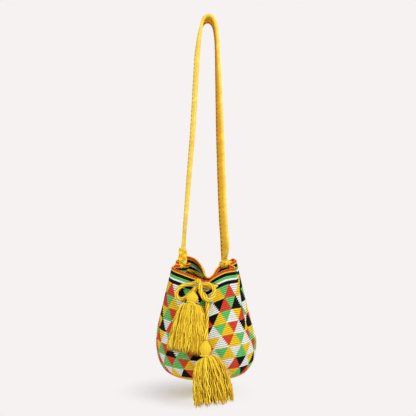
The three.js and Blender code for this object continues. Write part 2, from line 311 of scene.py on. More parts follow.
@dataclass(frozen=True)
class YarnFinish:
    """Cotton yarn: fibres along the strand, plies with painted light on them, and painted shade in the
    hollows between them.

    The mesh carries its yarn colour or none, a tone that varies from strand to strand, and a painted shade
    for its hollows.
    """

    name: str
    colour: Optional[Colour] = None
    repeats: tuple[float, float] = (156.0, 64.0)
    plies: float = 2.0
    slant: float = 0.0
    ply_groove_shade: float = 0.25
    fibre: tuple[float, float] = (7.0, 1.6)
    fibre_vary: float = 0.22
    bump: float = 0.5
    bump_depth: float = 0.5 * MM
    roughness: float = 0.9
    sheen: float = 0.03
    specular: float = 0.12
    # Powers on green and blue of the painted light and shade, so that painted shade turns warmer as it
    # darkens.
    warmth: tuple[float, float] = (1.0, 1.0)

    def material(self) -> bpy.types.Material:
        """Builds the material.

        Returns:
            The new material.
        """
        made = bpy.data.materials.new(self.name)
        graph = Graph(made)
        uv = graph.node("ShaderNodeUVMap", {"uv_map": "weave"})
        placed = graph.node("ShaderNodeVectorMath", {"operation": "MULTIPLY"},
                            {0: uv, 1: (self.repeats[0], self.repeats[1], 0.0)})
        across = graph.node("ShaderNodeSeparateXYZ", {}, {0: placed}, output=0)
        along = graph.node("ShaderNodeSeparateXYZ", {}, {0: placed}, output=1)
        lean = across * self.plies + along * self.slant
        ply = abs((lean * math.pi).sine())
        fibre_at = graph.node("ShaderNodeVectorMath", {"operation": "MULTIPLY"},
                              {0: placed, 1: (self.fibre[0], self.fibre[1], 0.0)})
        fibres = graph.node("ShaderNodeTexNoise", {"noise_dimensions": "2D"},
                            {"Vector": fibre_at, "Scale": 1.0, "Detail": 3.0, "Roughness": 0.6})
        place = graph.node("ShaderNodeTexCoord", output="Object")
        wide = graph.node("ShaderNodeTexNoise", {}, {"Vector": place, "Scale": 38.0, "Detail": 2.0})
        # Painted shade: the grooves between plies and the mesh's shade attribute darken the base colour, and
        # so does the skirt's tone for deep yarns; fibres and wide noise are the yarn's own variation.
        light = (1.0 - self.ply_groove_shade) + ply * self.ply_groove_shade
        light = light * (1.0 - self.fibre_vary + fibres * (2 * self.fibre_vary))
        light = light * (0.95 + wide * 0.1) * graph.attribute("shade") * graph.attribute("tone")
        base = graph.attribute("yarn", "Color") if self.colour is None else self.colour
        # Painted shade is tinted warm: green and blue fall faster than red by the warmth powers.
        warm = graph.node("ShaderNodeCombineColor", {"mode": "RGB"}, {0: light, 1: light ** self.warmth[0],
                                                                      2: light ** self.warmth[1]})
        colour = graph.mix(1.0, base, warm, "MULTIPLY")
        height = ply * 0.6 + fibres * 0.5
        normal = graph.node("ShaderNodeBump", {}, {"Strength": self.bump, "Distance": self.bump_depth,
                                                    "Height": height})
        rough = (self.roughness - 0.06) + fibres * 0.12
        shader = graph.node("ShaderNodeBsdfPrincipled", {}, {
            "Base Color": colour, "Roughness": rough.at_most(1.0), "Normal": normal,
            "Sheen Weight": self.sheen, "Sheen Roughness": 0.5, "Specular IOR Level": self.specular})
        graph.node("ShaderNodeOutputMaterial", {}, {"Surface": shader})
        return made


# Cloth made from a flat grid.

@dataclass
class Skin:
    """Where the points of a flat grid go, with what each carries."""

    points: np.ndarray
    uv: np.ndarray
    shade: np.ndarray
    tone: Optional[np.ndarray] = None


Drape = Callable[[np.ndarray, np.ndarray], Skin]
Colours = Callable[[int, int], tuple]


def work_grid(name: str, across: int, along: int, drape: Drape, finish: YarnFinish,
              colours: Optional[Colours] = None, away: Optional[Callable[[np.ndarray], np.ndarray]] = None,
              breaks: int = 0) -> bpy.types.Object:
    """Bends a flat grid round into a closed piece, as cloth is worked in rounds.

    Args:
        name: The piece's name.
        across: How many faces go round.
        along: How many faces run from its first end to its last.
        drape: Gives the skin for column and row numbers.
        finish: The piece's yarn.
        colours: Gives a face's yarn colour from its column and row.
        away: Says which points lie in an opening, so that faces all in it are left out.
        breaks: Every row of faces of this number is left out, which parts the grid into separate tubes.

    Returns:
        The piece, at the origin.
    """
    bm = bmesh.new()
    weave = bm.loops.layers.uv.new("weave")
    bmesh.ops.create_grid(bm, x_segments=across, y_segments=along, size=0.5)
    flat = np.array([vert.co[:] for vert in bm.verts])
    column = np.rint((flat[:, 0] + 0.5) * across).astype(int)
    row = np.rint((flat[:, 1] + 0.5) * along).astype(int)
    skin = drape(column, row)
    shade = bm.verts.layers.float.new("shade")
    tone = bm.verts.layers.float.new("tone")
    tones = np.ones(len(column)) if skin.tone is None else skin.tone
    for vert, point, dark, tint in zip(bm.verts, skin.points.tolist(), skin.shade.tolist(), tones.tolist()):
        vert.co = point
        vert[shade] = dark
        vert[tone] = tint
    yarn = bm.faces.layers.float_color.new("yarn") if colours else None
    for face in bm.faces:
        face.smooth = True
        numbers = [loop.vert.index for loop in face.loops]
        for loop, number in zip(face.loops, numbers):
            loop[weave].uv = skin.uv[number]
        if colours:
            face[yarn] = colours(int(column[numbers].min()), int(row[numbers].min()))
    if away is not None:
        gone = away(skin.points)
        lost = [face for face in bm.faces if all(gone[vert.index] for vert in face.verts)]
        bmesh.ops.delete(bm, geom=lost, context="FACES")
    if breaks:
        last = breaks - 1
        between = [face for face in bm.faces if row[[v.index for v in face.verts]].min() % breaks == last]
        bmesh.ops.delete(bm, geom=between, context="FACES")
    bmesh.ops.remove_doubles(bm, verts=bm.verts, dist=1e-7)
    if away is not None:
        line_openings(bm)
    return as_piece(name, bm, finish)


def ring_middle(ring: Sequence[bmesh.types.BMEdge]) -> Vector:
    """The middle of a ring of edges."""
    return sum((vert.co for edge in ring for vert in edge.verts), Vector()) / (2 * len(ring))


def line_openings(bm: bmesh.types.BMesh, reach: float = 14 * MM) -> None:
    """Joins each opening's outer edge to its inner one, and fills what opens on one side only.

    Args:
        bm: The worked mesh.
        reach: The most that the two edges' middles may be apart.
    """
    weave = bm.loops.layers.uv["weave"]
    yarn = bm.faces.layers.float_color["yarn"]
    open_edges = [edge for edge in bm.edges if edge.is_boundary]
    made = bmesh.ops.holes_fill(bm, edges=open_edges, sides=6)["faces"]
    left = {edge for edge in bm.edges if edge.is_boundary}
    rings = []
    while left:
        ring = [left.pop()]
        for edge in ring:
            beside = {other for vert in edge.verts for other in vert.link_edges} & left
            left -= beside
            ring.extend(beside)
        rings.append(ring)
    while rings:
        ring = rings.pop()
        partner = min(rings, key=lambda other: (ring_middle(other) - ring_middle(ring)).length, default=ring)
        if partner is not ring and (ring_middle(partner) - ring_middle(ring)).length < reach:
            rings.remove(partner)
            made += bmesh.ops.bridge_loops(bm, edges=[*partner, *ring])["faces"]
        else:
            made += bmesh.ops.holes_fill(bm, edges=ring, sides=len(ring))["faces"]
    fresh = set(made)
    for face in made:
        face.smooth = True
        for loop in face.loops:
            known = next(near for near in loop.vert.link_loops if near.face not in fresh)
            loop[weave].uv = known[weave].uv
            face[yarn] = known.face[yarn]


def as_piece(name: str, bm: bmesh.types.BMesh, finish: YarnFinish) -> bpy.types.Object:
    """Turns a worked mesh into a piece that rides on the bag.

    Args:
        name: The piece's name.
        bm: The worked mesh, which is freed.
        finish: The piece's yarn.

    Returns:
        The piece, at the origin.
    """
    mesh = bpy.data.meshes.new(name)
    bm.to_mesh(mesh)
    bm.free()
    mesh.materials.append(finish.material())
    piece = bpy.data.objects.new(name, mesh)
    bpy.context.scene.collection.objects.link(piece)
    return piece


YARN_SHIFT = 37 * MM


def spin_yarns(name: str, paths: np.ndarray, radii: np.ndarray, tones: np.ndarray,
               finish: YarnFinish, sides: int = 4) -> bpy.types.Object:
    """Makes one piece of many yarns, each a thin tube with pointed ends.

    Args:
        name: The piece's name.
        paths: The points of each yarn, as yarn, step and x, y, z.
        radii: Each yarn's radius.
        tones: Each yarn's brightness.
        finish: The yarn.
        sides: How many sides a tube has.

    Returns:
        The piece, at the origin.
    """
    yarns, steps = paths.shape[:2]
    frames = [carried_frames(path) for path in paths]
    side = np.array([pair[0] for pair in frames])
    up = np.array([pair[1] for pair in frames])
    strides = np.linalg.norm(np.diff(paths, axis=1), axis=2)
    run = np.concatenate([np.zeros((yarns, 1)), np.cumsum(strides, axis=1)], axis=1)
    taper = np.ones(steps)
    taper[0] = taper[-1] = 0.0
    taper[1] = taper[-2] = 0.85

    def drape(column: np.ndarray, row: np.ndarray) -> Skin:
        """Wraps each run of rows round one yarn.

        Args:
            column: Each point's number round the tube.
            row: Its number along all the yarns.

        Returns:
            The yarns' skin.
        """
        yarn, step = row // steps, row % steps
        angle = TURN * column / sides
        radius = (radii[yarn] * taper[step])[:, None]
        turned = around(angle, side[yarn, step], up[yarn, step])
        round_it = TURN * radii[yarn] * column / sides + yarn * YARN_SHIFT
        uv = np.stack([round_it, run[yarn, step]], axis=1) / MM
        return Skin(paths[yarn, step] + radius * turned, uv, np.ones(len(row)), tones[yarn])

    return work_grid(name, sides, yarns * steps - 1, drape, finish, breaks=steps)


GOLD_CORD = YarnFinish("gold_cord", Yarn.GOLD.value, (1.0, 1.0), plies=0.42, slant=0.42, ply_groove_shade=0.22,
                       fibre=(2.2, 0.7), fibre_vary=0.16, bump=0.45, bump_depth=0.4 * MM,
                       warmth=(1.6, 2.6))
GOLD_STRANDS = YarnFinish("gold_strands", Yarn.GOLD.value, (1.0, 1.0), plies=0.5, slant=0.35, ply_groove_shade=0.16,
                          fibre=(2.0, 0.5), fibre_vary=0.14, bump=0.3, bump_depth=0.3 * MM,
                          warmth=(1.6, 2.6))
GOLD_WEAVE = YarnFinish("gold_weave", None, (1.0, 1.0), plies=0.18, slant=0.4, ply_groove_shade=0.12,
                        fibre=(0.55, 0.8), fibre_vary=0.2, bump=0.6, bump_depth=0.5 * MM, warmth=(1.6, 3.2))
CROCHET = YarnFinish("crochet", None, (126.0, 64.0), plies=2.0, slant=0.5, ply_groove_shade=0.14, fibre=(6.0, 1.6),
                     fibre_vary=0.16, bump=0.5, bump_depth=0.5 * MM, sheen=0.02, specular=0.1)


# The drawstring.

@dataclass
class Drawstring:
    """The cord that runs round the mouth through the eyelets, with its bow in front and two hanging ends."""

    diameter: float = 8.6 * MM
    plies: int = 4
    lay: float = 70 * MM
    ply_seat: float = 0.48
    ply_size: float = 0.52
    ridge_painted_light: float = 1.14
    groove_painted_shade: float = 0.72
    steps: int = 640
    sides: int = 20
    route: tuple[Point, ...] = (
        (-28.9, -88.2, -46.4), (-25.6, -85, -40), (-18.8, -80.2, -35.4), (-11.5, -79.6, -32.9),
        (-3.1, -80, -31.4), (5.2, -81, -33.4), (11.7, -83, -40.1), (12.9, -86, -48.7), (9.5, -90, -57.5),
        (1.7, -93.5, -62.7), (-7, -96, -60.1), (-12.4, -98, -52.4), (-14.7, -96.8, -43.3),
        (-16.1, -93.5, -34.3), (-17.4, -88, -27.1), (-20.5, -79.5, -24.2), (-26.7, -71.5, -29.6),
        (-35.8, -68.5, -33.5), (-48.4, -67.5, -34.9), (-60, -67.5, -40.6), (-66, -69, -49.6),
        (-64.7, -71.5, -59.4),
        (-57, -74.5, -64.1), (-48.1, -76, -61), (-39.1, -75.8, -53.4), (-31.4, -74.2, -46.1),
        (-23.7, -71.6, -40.3), (-15.8, -70.3, -37.7), (-6.3, -70.6, -38.1), (3.1, -72.3, -38.8),
        (10.9, -70.8, -38.5), (18.1, -65, -37.5), (24.6, -57.5, -36.6), (34, -49, -31), (44, -38.5, -26),
        (48, -26, -23), (47.5, -14, -21), (48, -3, -19), (46.5, 8, -18), (40.5, 16, -21), (30, 19, -27),
        (17, 20, -33), (5, 20.5, -34), (-7, 21.5, -29), (-20, 25, -21.5), (-33, 30.5, -16.5), (-45, 34, -14),
        (-55.5, 33, -14), (-62, 27, -16), (-64.5, 18, -18.5), (-66.5, 6, -22), (-70, -6, -25),
        (-71, -17.5, -27), (-66.5, -28.5, -29), (-57, -38, -32), (-44, -46.5, -36.5), (-32, -53, -43),
        (-22.5, -62, -48.3),
        (-13.4, -75.5, -50.1), (-7.1, -80.5, -55), (-2.7, -83.8, -62.5), (-1.5, -87.6, -72.4),
        (-2.1, -93.6, -88.1), (-2.9, -102.2, -107.4), (-3.7, -113.6, -122.4), (-4.1, -120, -130.4),
        (-4.3, -123, -135.6), (-4.5, -124.2, -141),
    )
    course: Course = field(init=False)

    def __post_init__(self) -> None:
        """Lays the cord's course."""
        points = np.array(self.route) * MM - [0, 0, STRAP_DROP]
        self.course = Course(points, divisions=2000)

    def end(self, last: bool) -> np.ndarray:
        """The cord's lower end, or else its first one."""
        return self.course.at(np.array([1.0 if last else 0.0]))[0]

    def build(self) -> bpy.types.Object:
        """Makes the cord as a few plies with a slow twist.

        Returns:
            The cord.
        """
        steps, sides = self.steps, self.sides
        shares = np.linspace(0, 1, steps + 1)
        points = self.course.along(shares)
        side, up = carried_frames(points)
        radius = self.diameter / 2
        seat, ply = self.ply_seat * radius, self.ply_size * radius

        def drape(column: np.ndarray, row: np.ndarray) -> Skin:
            """Wraps the grid round the course, with a ridge for each ply.

            Args:
                column: Each point's number round the cord.
                row: Its number along the cord.

            Returns:
                The cord's skin.
            """
            angle = TURN * column / sides
            run = shares[row] * self.course.length
            twist = TURN * run / self.lay
            step = TURN / self.plies
            off = (angle - twist + step / 2) % step - step / 2
            reach = seat * np.cos(off) + np.sqrt(ply ** 2 - (seat * np.sin(off)) ** 2)
            reach = closing(row, steps, reach)
            turned = around(angle, side[row], up[row])
            uv = np.stack([TURN * radius * column / sides, run], axis=1) / MM
            # Painted highlight on each ply's ridge, above 1, and painted shade in the grooves between plies.
            shade = self.ridge_painted_light - self.groove_painted_shade * (np.abs(off) / (step / 2)) ** 2
            return Skin(points[row] + reach[:, None] * turned, uv, shade)

        cord = work_grid("drawstring_cord", sides, steps, drape, GOLD_CORD)
        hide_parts("drawstring")
        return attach(cord, BODY)

    def declare(self) -> None:
        """Works out points along the cord and its length, and does nothing with them.
        """
        path = self.course.along(np.linspace(0, 1, 400)).tolist()
        self.course.length


# Tassels.

@dataclass
class Tassel:
    """A wound head in line with the cord, a binding round its neck and a skirt of loose yarns.

    The skirt's stations are its place down to the hem as a share, half width and half depth, in millimetres.
    """

    name: str
    facing: Point
    head: float
    head_length: float
    hem: Point
    curl: float
    skirt: tuple[Point, ...]
    seed: int
    lean: Point
    first_fall: Point
    shoulder: Point = (0.0, 0.0, 0.0)
    hem_slope: float = 0.0
    locks: int = 130
    yarns_per_lock: int = 3
    neck: float = 8.2 * MM
    tie_width: float = 2.8 * MM
    tie_yarn: float = 0.9 * MM
    tie_turns: float = 2.5
    gap: float = 0.3 * MM
    rib_depth: float = 0.45 * MM
    ribs: int = 18
    core_share: float = 0.6
    top: np.ndarray = field(init=False)
    down: np.ndarray = field(init=False)
    wide: np.ndarray = field(init=False)
    deep: np.ndarray = field(init=False)

    def pieces(self, cord: Drawstring) -> list[bpy.types.Object]:
        """Makes the tassel at the cord's end.

        Args:
            cord: The cord that it hangs on.

        Returns:
            The head, the binding, the skirt and its core.
        """
        self.top = cord.end(self.name == "lower")
        self.down = unit(np.array(self.lean))
        facing = np.array(self.facing)
        self.wide = unit(np.cross(facing, self.down))
        self.deep = unit(np.cross(self.down, self.wide))
        made = [self._head(cord.diameter / 2), self._tie(), self._skirt(), self._core()]
        for piece, part in zip(made, ("head", "tie", "skirt", None)):
            "loose_yarn" if part in ("skirt", None) else "cord_yarn"
            if part:
                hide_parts(f"{self.name}_tassel_{part}")
            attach(piece, BODY)
        return made

    def _along(self, distance: np.ndarray) -> np.ndarray:
        """Points down the head's axis."""
        return self.top + (self.gap + np.asarray(distance))[..., None] * self.down

    def _head(self, cord_radius: float) -> bpy.types.Object:
        """Makes the wound ball, with the lines of its yarns running down it.

        Args:
            cord_radius: Half the cord's diameter, which the ball closes on.

        Returns:
            The head.
        """
        places = np.array([0, 0.1, 0.28, 0.48, 0.68, 0.88, 1.0, 1 + self.tie_width / self.head_length])
        radii = np.array([cord_radius, cord_radius + 0.6 * MM, self.head * 0.76, self.head, self.head * 0.98,
                          self.head * 0.8, self.neck, self.neck])
        profile = Course(np.stack([places * self.head_length, radii, 0 * radii], axis=1))
        sides, steps = 72, 36
        outline = profile.at(np.linspace(0, 1, steps + 1))

        def drape(column: np.ndarray, row: np.ndarray) -> Skin:
            """Turns the outline round the axis, with a low rib for each bundle of yarns.

            Args:
                column: Each point's number round the ball.
                row: Its number down the ball.

            Returns:
                The ball's skin.
            """
            angle = TURN * column / sides
            rib = np.abs(np.sin(angle * self.ribs / 2 + 0.6 * row / steps))
            reach = closing(row, steps, outline[row, 1] - self.rib_depth * (1 - rib))
            turned = around(angle, self.wide, self.deep)
            uv = np.stack([self.head * angle, outline[row, 0]], axis=1) / MM
            # Painted shade between the ribs: 0.8 in the grooves, 1 on the ribs.
            return Skin(self._along(outline[row, 0]) + reach[:, None] * turned, uv, 0.8 + 0.2 * rib)

        return work_grid(f"{self.name}_head_yarn", sides, steps, drape, GOLD_STRANDS)

    def _tie(self) -> bpy.types.Object:
        """Makes the yarn wound round the neck.

        Returns:
            The binding.
        """
        share = np.linspace(0, 1, 110)
        angle = TURN * self.tie_turns * share
        reach = self.neck + 0.4 * MM + self.tie_yarn
        down = self._along(self.head_length + self.tie_width * (0.15 + 0.7 * share))
        path = down + reach * around(angle, self.wide, self.deep)
        return spin_yarns(f"{self.name}_tie_yarn", path[None], np.array([self.tie_yarn]), np.array([0.95]),
                          GOLD_STRANDS, 8)

    def _fall(self, share: np.ndarray, wide: np.ndarray, deep: np.ndarray) -> np.ndarray:
        """Points in the skirt.

        Args:
            share: How far down, 0 at the neck and 1 at the hem.
            wide: Place across, -1 to 1 of the half width.
            deep: Place front to back, -1 to 1 of the half depth.

        Returns:
            The points.
        """
        start = self._along(self.head_length + self.tie_width + self.gap) + np.array(self.shoulder) * MM
        first = unit(np.array(self.first_fall))
        hem = np.array(self.hem) - [0, 0, STRAP_DROP]
        length = np.linalg.norm(hem - start)
        fall = (hem - start) / length
        turn = start + first * length / 6
        stations = np.array(self.skirt)
        half_wide = np.interp(share, stations[:, 0], stations[:, 1]) * MM
        half_deep = np.interp(share, stations[:, 0], stations[:, 2]) * MM
        ease = np.minimum(share / 0.2, 1)[:, None]
        axis = unit(first * (1 - ease) + fall * ease)
        side = unit(np.cross(np.array(self.facing), axis))
        front = np.cross(axis, side)
        f = np.minimum(share, 1)[:, None]
        at = (1 - f) ** 2 * start + 2 * f * (1 - f) * turn + f ** 2 * hem
        at = at + np.maximum(share - 1, 0)[:, None] * length * fall
        across = (wide * half_wide)[:, None]
        curled = ease * self.curl * across ** 2 / 2
        return at + side * across + front * ((deep * half_deep)[:, None] - curled)

    def _skirt(self) -> bpy.types.Object:
        """Makes the loose yarns, which hang together in locks and end unevenly.

        Returns:
            The skirt.
        """
        chance = random.Random(self.seed)
        steps = 22
        share = np.concatenate([[0.0, 0.012, 0.03, 0.055], np.linspace(0.09, 1, steps - 4)])
        swing = share ** 0.8
        paths, radii, tones = [], [], []
        for lock in range(self.locks):
            angle = TURN * (lock + chance.uniform(-0.4, 0.4)) / self.locks
            depth = chance.choice((1.0, 1.0, 0.95, 0.9, 0.82, 0.72, 0.62))
            end = chance.uniform(0.98, 1.015)
            sway = (chance.uniform(-0.07, 0.07), chance.uniform(-0.06, 0.06))
            for _ in range(self.yarns_per_lock):
                own = angle + chance.gauss(0, 0.09)
                reach = depth * (1 - abs(chance.gauss(0, 0.05)))
                ripple = (chance.uniform(13, 29), chance.uniform(0, 6.28), chance.uniform(0.03, 0.085))
                down = share * (end + chance.uniform(-0.035, 0.015) + self.hem_slope * math.cos(own))
                wave = ripple[0] * share + ripple[1]
                wide = np.cos(own) * reach + swing * (sway[0] + ripple[2] * np.sin(wave))
                deep = np.sin(own) * reach + swing * (sway[1] + ripple[2] * np.cos(wave))
                paths.append(self._fall(down, wide, deep))
                radii.append(chance.uniform(0.8, 1.12) * MM)
                # Painted shade: yarns deeper in the skirt are darkened by their depth, on top of a tone that
                # differs at random.
                tones.append((0.24 + 0.76 * (depth - 0.6) / 0.4) * chance.uniform(0.6, 1.26))
        return spin_yarns(f"{self.name}_skirt_yarns", np.array(paths), np.array(radii), np.array(tones),
                          GOLD_STRANDS, 5)

    def _core(self) -> bpy.types.Object:
        """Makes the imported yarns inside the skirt, in shade.

        Returns:
            The core.
        """
        sides, steps = 40, 16

        def drape(column: np.ndarray, row: np.ndarray) -> Skin:
            """Follows the skirt at a share of its width.

            Args:
                column: Each point's number round the core.
                row: Its number down the core.

            Returns:
                The core's skin.
            """
            angle = TURN * column / sides
            reach = self.core_share * closing(row, steps, 1 - 0.06 * np.abs(np.sin(10 * angle)))
            share = np.clip(row / steps, 0.04, 0.97)
            points = self._fall(share, np.cos(angle) * reach, np.sin(angle) * reach)
            uv = np.stack([angle * 30, share * 100], axis=1)
            # Painted shade: the core is darkened to 0.3 for the shade inside the skirt.
            return Skin(points, uv, np.full(len(row), 0.3))

        return work_grid(f"{self.name}_skirt_core", sides, steps, drape, GOLD_STRANDS)


# The shoulder strap.

@dataclass
class ShoulderStrap:
    """The woven band: two rolled edges and a flat web between them, gathered to a rope at both ends.

    A leg's stations are x, y, height as a share of the strap's drop, width, thickness and turn, and those of
    the arch are x, y, z and turn, in millimetres and degrees.
    """

    width: float = 62.0
    thick: float = 7.0
    legs_left: tuple[tuple[float, ...], ...] = (
        (-55.2, 2, 0.941, 11, 10.5, 0), (-54.6, 2, 0.926, 15, 11, 0), (-53.4, 2, 0.902, 27, 9, 3),
        (-51.8, 2, 0.861, 46, 7.4, 4), (-49.5, 2, 0.81, 60, 7, 4.5), (-41.7, 1, 0.63, 62, 7, 6),
        (-33.7, 0, 0.447, 62, 7, 7), (-27.2, 0, 0.245, 62, 7, 7.3),
    )
    arch: tuple[tuple[float, ...], ...] = (
        (-23.3, 0, -69.8, 7.3), (-20.3, 0, -43, 6), (-17, 0, -21, 4.5), (-13.2, 0, -7.5, 3.5),
        (-7.4, 0, 0.9, 3), (0, 0, 3.5, 2.5), (7.8, 0, 0.9, 2.5), (13.2, 0, -7, 2.5), (16.8, 0, -21, 2.5),
        (19.3, 0, -43, 3), (20.4, 0, -69.8, 3.5),
    )
    legs_right: tuple[tuple[float, ...], ...] = (
        (23, 1, 0.26, 62, 7, 7), (26.1, 3, 0.447, 62, 7, 10.4), (29.5, 8, 0.63, 62, 7, 11.3),
        (33.5, 13, 0.81, 62, 7, 11.5), (37.6, 17, 0.918, 61, 7, 13), (37, 18, 0.95, 46, 8, 13),
        (35.9, 19, 0.972, 25, 11, 12), (35.3, 19, 0.985, 13, 11, 10), (35.2, 19, 0.991, 11, 10, 10),
    )
    hole_pitch: float = 9.6
    hole_length: float = 0.2
    hole_depth: float = 0.3
    hole_shade: float = 0.8
    pick_pitch: float = 5.2
    web_thinning: float = 0.3
    steps: int = 680
    flat_faces: int = 16
    end_faces: int = 8

    def _stations(self) -> np.ndarray:
        """All stations as x, y, z, width, thickness and turn, in millimetres and degrees.

        Returns:
            One station a row.
        """
        def leg(station: tuple[float, ...]) -> tuple[float, ...]:
            """Turns a leg's height share into a height."""
            x, y, share, width, thick, turn = station
            return x, y, -share * STRAP_DROP / MM, width, thick, turn
        arch = [(x, y, z, self.width, self.thick, turn) for x, y, z, turn in self.arch]
        return np.array([*map(leg, self.legs_left), *arch, *map(leg, self.legs_right)])

    def _section(self, column: np.ndarray, straight: np.ndarray,
                 half: np.ndarray) -> tuple[np.ndarray, np.ndarray]:
        """The band's section, round from its front edge.

        Args:
            column: The point's number round the section.
            straight: Half the length of the flat.
            half: Half the thickness.

        Returns:
            Places along the width and through the thickness.
        """
        quarter, flats = self.end_faces // 2, self.flat_faces
        total = 2 * (flats + self.end_faces)
        k = column % total
        near = np.where(k > total / 2, total - k, k)
        angle = np.minimum(near, quarter) / quarter * math.pi / 2
        angle = np.where(near > quarter + flats, (near - flats) / quarter * math.pi / 2, angle)
        flat = 0.5 - 0.5 * np.cos(math.pi * np.clip((near - quarter) / flats, 0, 1))
        wide = straight * (1 - 2 * flat) + half * np.cos(angle)
        side = np.where(k > total / 2, -1.0, 1.0)
        web = 1 - self.web_thinning * np.clip(np.sin(math.pi * flat) * 4, 0, 1)
        return wide, side * half * np.sin(angle) * web

    def build(self) -> bpy.types.Object:
        """Makes the strap.

        Returns:
            The strap.
        """
        stations = self._stations()
        course = Course(stations[:, :3] * MM, divisions=2000)
        steps = self.steps
        shares = course.share_at(np.linspace(0, 1, steps + 1))
        points = course.at(shares)
        tangents = unit(np.gradient(points, axis=0))
        place = shares * (len(stations) - 1)
        numbers = np.arange(len(stations))
        width, thick, turn = (np.interp(place, numbers, stations[:, c]) for c in (3, 4, 5))
        angle = np.radians(turn)
        across = np.stack([-np.sin(angle), np.cos(angle), 0 * angle], axis=1)
        face = unit(np.cross(tangents, across))
        sides = 2 * (self.flat_faces + self.end_faces)
        run = np.linspace(0, course.length, steps + 1) / MM
        chance = np.random.default_rng(7)
        uneven = 0.35 * np.convolve(chance.normal(size=steps + 9), np.ones(9) / 3, "valid")
        tint = 1 + 0.03 * np.convolve(chance.normal(size=steps + 5), np.ones(5) / 2.2, "valid")

        def drape(column: np.ndarray, row: np.ndarray) -> Skin:
            """Lays the section along the course, with its stitch holes beside the rolled edges.

            Args:
                column: Each point's number round the section.
                row: Its number along the strap.

            Returns:
                The strap's skin.
            """
            half = np.minimum(thick, width)[row] / 2
            straight = np.maximum(width[row] / 2 - half, 0)
            wide, deep = self._section(column, straight, half)
            near_far_edge = bell(wide - straight + 4.6, 4.6)
            near_front_edge = 0.5 * bell(wide + straight - 2.5, 2.0)
            beside = np.where(wide > 0, near_far_edge, near_front_edge)
            beat = bell(run[row] / self.hole_pitch % 1 - 0.5, self.hole_length)
            hole = beside * beat * (straight > 12)
            inner = (deep < -0.2 * half) & (straight > 4)
            picks = np.sign(deep) * 0.12 * np.sin(TURN * run[row] / self.pick_pitch)
            deep = deep * (1 - self.hole_depth * hole) + picks
            wide = wide + (uneven[row] + 0.4 * np.sin(TURN * run[row] / 4.8)) * np.sign(wide)
            ends = closing(row, steps)
            at = points[row] + (wide * ends * MM)[:, None] * across[row]
            at = at + (deep * ends * MM)[:, None] * face[row]
            # Painted shade: the stitch holes are darkened by hole_shade and the inner face by 5%; the band
            # where each rolled edge meets the flat is 14% darker.
            seam = bell(np.abs(wide) - straight + 1.2, 1.4) * (straight > 8)
            shade = (1 - self.hole_shade * hole) * (1 - 0.14 * seam) * np.where(inner, 0.95, 1.0)
            return Skin(at, np.stack([wide + np.sign(deep) * 80, run[row]], axis=1), shade, tint[row])

        def colours(column: int, row: int) -> tuple:
            """The flat of the inner face is painted a deeper yellow, as its shade.

            Args:
                column: The face's number round the section.
                row: Its number along the strap; not used.

            Returns:
                The face's colour.
            """
            past = column - sides // 2 - self.end_faces // 2
            return (Yarn.LEMON_PAINTED_SHADE if 0 <= past < self.flat_faces else Yarn.LEMON).value

        strap = work_grid("strap_weave", sides, steps, drape, GOLD_WEAVE, colours)
        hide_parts("strap_band")
        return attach(strap, BODY)


@dataclass
class Lashing:
    """Yarn that sews the strap's gathered end over the rim, on a core of its own.

    Stations are height above the mouth's level, half width and half depth, in millimetres.
    """

    name: str
    at: tuple[float, float]
    stations: tuple[Point, ...]

    def _size(self, z: np.ndarray) -> tuple[np.ndarray, np.ndarray]:
        """Half the width and half the depth at these heights above the mouth's level, in millimetres."""
        table = np.array(self.stations)
        return np.interp(z, table[:, 0], table[:, 1]), np.interp(z, table[:, 0], table[:, 2])

    def _place(self, x: np.ndarray, y: np.ndarray, z: np.ndarray) -> np.ndarray:
        """Turns millimetres from the lashing's axis at the mouth's level into points."""
        return np.stack([self.at[0] + x, self.at[1] + y, z - STRAP_DROP / MM], axis=-1) * MM

    def _core(self, inset: float) -> bpy.types.Object:
        """Makes the yarns inside, an oval spindle.

        Args:
            inset: How far it lies below the outer strands.

        Returns:
            The core.
        """
        sides, steps = 24, 14
        low, high = self.stations[0][0] + inset, self.stations[-1][0] - inset

        def drape(column: np.ndarray, row: np.ndarray) -> Skin:
            """Fills the winding.

            Args:
                column: Each point's number round the core.
                row: Its number up the core.

            Returns:
                The core's skin.
            """
            angle = TURN * column / sides
            z = low + (high - low) * row / steps
            wide, deep = (closing(row, steps, np.maximum(size - inset, 1)) for size in self._size(z))
            points = self._place(wide * np.cos(angle), deep * np.sin(angle), z)
            # Painted shade: the core is darkened to 0.8 for the shade under the outer yarns.
            return Skin(points, np.stack([angle * 8, z], axis=1), np.full(len(row), 0.8))

        return work_grid(f"{self.name}_core", sides, steps, drape, GOLD_STRANDS)

    def _finish(self, yarns: bpy.types.Object, inset: float) -> list[bpy.types.Object]:
        """Puts the yarns and their core on the bag in place of the solid.

        Args:
            yarns: The outer yarns.
            inset: How far the core lies below them.

        Returns:
            The yarns and the core.
        """
        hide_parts(self.name)
        made = [yarns, self._core(inset)]
        for piece in made:
            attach(piece, BODY)
        return made


@dataclass
class Plait(Lashing):
    """A lashing of three strands that cross in turn, each a bundle of yarns."""

    strands: int = 3
    bundle: int = 5
    yarn: float = 1.25
    crossing: float = 44.0
    core_inset: float = 4.0

    def build(self) -> list[bpy.types.Object]:
        """Makes the plait.

        Returns:
            The yarns and the core.
        """
        z = np.linspace(self.stations[0][0] + self.yarn, self.stations[-1][0] - self.yarn, 90)
        wide, deep = self._size(z)
        paths, tones = [], []
        for strand in range(self.strands):
            turn = TURN * (z / self.crossing + strand / self.strands)
            heading = np.cos(turn)
            for number in range(self.bundle):
                beside = (number - (self.bundle - 1) / 2) * 1.45 * self.yarn
                x = (wide - 2.4 * self.yarn) * np.sin(turn) + beside * 0.7
                y = -(deep - 1.6 * self.yarn) * np.sin(2 * turn) * 0.7 - beside * 0.15 * heading
                paths.append(self._place(x, y, z - beside * 0.4 * heading))
                tones.append(0.9 + 0.06 * ((strand + 2 * number) % 3))
        radii = np.full(len(paths), self.yarn * MM)
        yarns = spin_yarns(f"{self.name}_plait", np.array(paths), radii, np.array(tones), GOLD_STRANDS, 8)
        return self._finish(yarns, self.core_inset)


